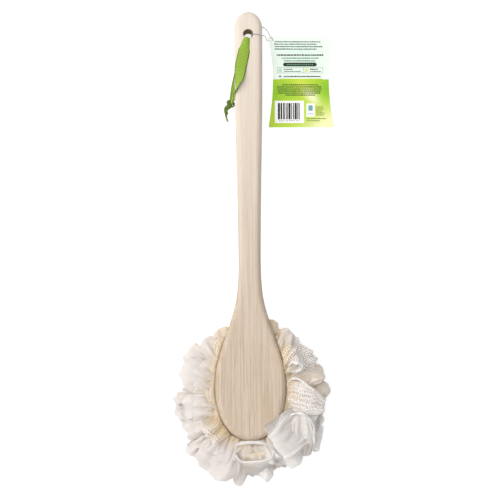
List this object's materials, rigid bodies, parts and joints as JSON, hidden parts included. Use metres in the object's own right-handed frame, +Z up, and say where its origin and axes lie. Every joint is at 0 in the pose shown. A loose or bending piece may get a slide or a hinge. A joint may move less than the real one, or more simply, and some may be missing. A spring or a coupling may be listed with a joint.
{
  "type": "long-handled bath scrubber",
  "caption": "Long flat wooden bath brush handle with an oval paddle over a ruffled netting and loofah pouf, a knotted ribbon loop and a card tag.",
  "frame": {"origin": "middle of the footprint of the wooden handle and pouf, on the surface that the scrubber lies on", "axes": "+Z up from the surface it lies on, +Y along the handle from the pouf towards the hanging end, +X to the card tag's side; the pouf is underneath and the handle slopes 9 degrees down to its hanging end"},
  "size_m": [0.1747, 0.5001, 0.0859],
  "materials": {
    "handle_wood": "bare, sanded, pale straight grain",
    "fine_netting": "soft matt knitted netting, off-white",
    "loofah_netting": "coarser matt netting, cream",
    "cord": "twisted cotton",
    "fastener_steel": "plain zinc-plated steel",
    "ribbon": "ribbed grosgrain, green",
    "clear_string": "clear nylon",
    "card": "printed card, satin"
  },
  "bodies": {
    "scrubber": {"handle": "handle_wood", "back_ruffle": "fine_netting", "back_loofah_ruffle": "loofah_netting", "side_ruffle": "fine_netting", "front_loofah_ruffle": "loofah_netting", "front_ruffle": "fine_netting", "centre_ruffle": "fine_netting", "gathering_cord": "cord", "gathering_knot": "cord", "washers": "fastener_steel", "screws": "fastener_steel"},
    "ribbon": {"ribbon_loop": "ribbon", "ribbon_knot": "ribbon", "ribbon_tails": "ribbon"},
    "string": {"tag_loop": "clear_string"},
    "tag": {"hang_tag": "card"}
  },
  "joints": [
    {"name": "ribbon_swing", "type": "hinge", "parent": "scrubber", "child": "ribbon", "pos_m": [0, 0.2244, 0.0104], "axis": [0, -0.1564, -0.9877], "range_deg": [0, 155]},
    {"name": "string_swing", "type": "hinge", "parent": "scrubber", "child": "string", "pos_m": [0, 0.2244, 0.0104], "axis": [0, 0.1564, 0.9877], "range_deg": [-8, 25]},
    {"name": "tag_swing", "type": "hinge", "parent": "string", "child": "tag", "pos_m": [0.0273, 0.2208, 0.0035], "axis": [0.0419, 0, 0.9991], "range_deg": [-10, 20]}
  ]
}
